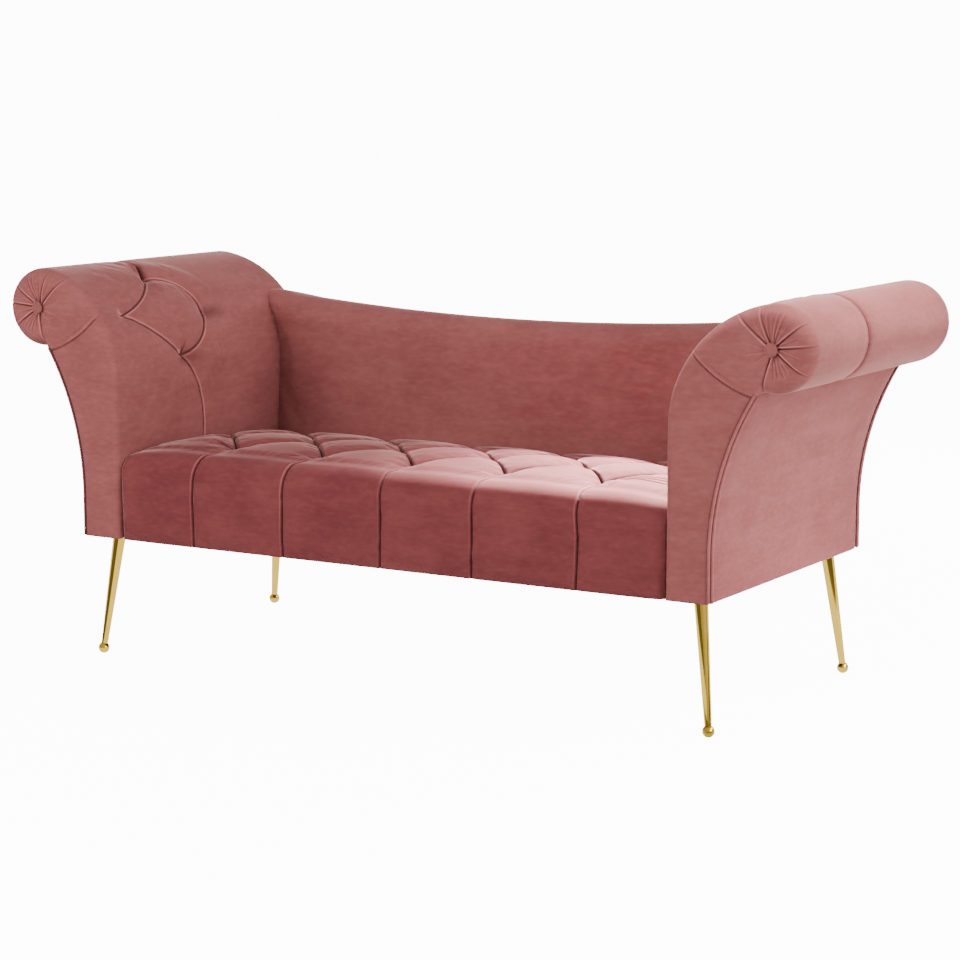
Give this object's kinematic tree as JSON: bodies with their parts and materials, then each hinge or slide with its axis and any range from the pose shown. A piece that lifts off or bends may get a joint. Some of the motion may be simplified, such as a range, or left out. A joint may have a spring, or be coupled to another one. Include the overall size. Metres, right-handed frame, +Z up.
{
  "type": "chaise longue",
  "caption": "Upholstered two-ended chaise longue with a diamond-tufted seat, scrolled arms, a low dipped back and splayed metal legs on ball feet.",
  "frame": {"origin": "on the floor under the middle of the body", "axes": "+X along the seat towards its right end as seen from the front, -Y out of the front, +Z up"},
  "size_m": [1.714, 0.665, 0.754],
  "materials": {
    "velvet": "dusty-rose pile velvet with a soft sheen",
    "gold": "polished gold-coloured plating",
    "timber": "planed softwood",
    "plywood": "sawn plywood",
    "hardboard": "smooth fibreboard",
    "foam": "open-cell upholstery foam",
    "webbing": "elastic woven webbing",
    "twine": "waxed tufting twine",
    "lining": "black non-woven lining",
    "steel": "zinc-plated steel"
  },
  "bodies": {
    "root": {"arm_bolts": "steel", "back_board": "hardboard", "back_cover": "velvet", "back_foam": "foam", "back_posts": "timber", "back_top_rail": "timber", "corner_blocks": "timber", "cross_webbing": "webbing", "dust_cover": "lining", "front_left_foot": "gold", "front_left_leg": "gold", "front_left_leg_plate": "steel", "front_right_foot": "gold", "front_right_leg": "gold", "front_right_leg_plate": "steel", "front_seat_rail": "timber", "left_arm_board": "hardboard", "left_arm_bottom_rail": "timber", "left_arm_cover": "velvet", "left_arm_dust_cover": "lining", "left_arm_foam": "foam", "left_arm_front_panel": "plywood", "left_arm_front_welt": "velvet", "left_arm_neck_rail": "timber", "left_arm_outside_panel": "velvet", "left_arm_rear_panel": "plywood", "left_arm_rear_welt": "velvet", "left_arm_roll_rail": "timber", "left_arm_tack_rail": "timber", "left_end_rail": "timber", "leg_screws": "steel", "long_webbing": "webbing", "outside_back_panel": "velvet", "rear_left_foot": "gold", "rear_left_leg": "gold", "rear_left_leg_plate": "steel", "rear_right_foot": "gold", "rear_right_leg": "gold", "rear_right_leg_plate": "steel", "rear_seat_rail": "timber", "right_arm_board": "hardboard", "right_arm_bottom_rail": "timber", "right_arm_cover": "velvet", "right_arm_dust_cover": "lining", "right_arm_foam": "foam", "right_arm_front_panel": "plywood", "right_arm_front_welt": "velvet", "right_arm_neck_rail": "timber", "right_arm_outside_panel": "velvet", "right_arm_rear_panel": "plywood", "right_arm_rear_welt": "velvet", "right_arm_roll_rail": "timber", "right_arm_tack_rail": "timber", "right_end_rail": "timber", "roll_buttons": "velvet", "seat_bearers": "timber", "seat_cover": "velvet", "seat_foam": "foam", "seat_tuft_ties": "twine"}
  },
  "joints": []
}
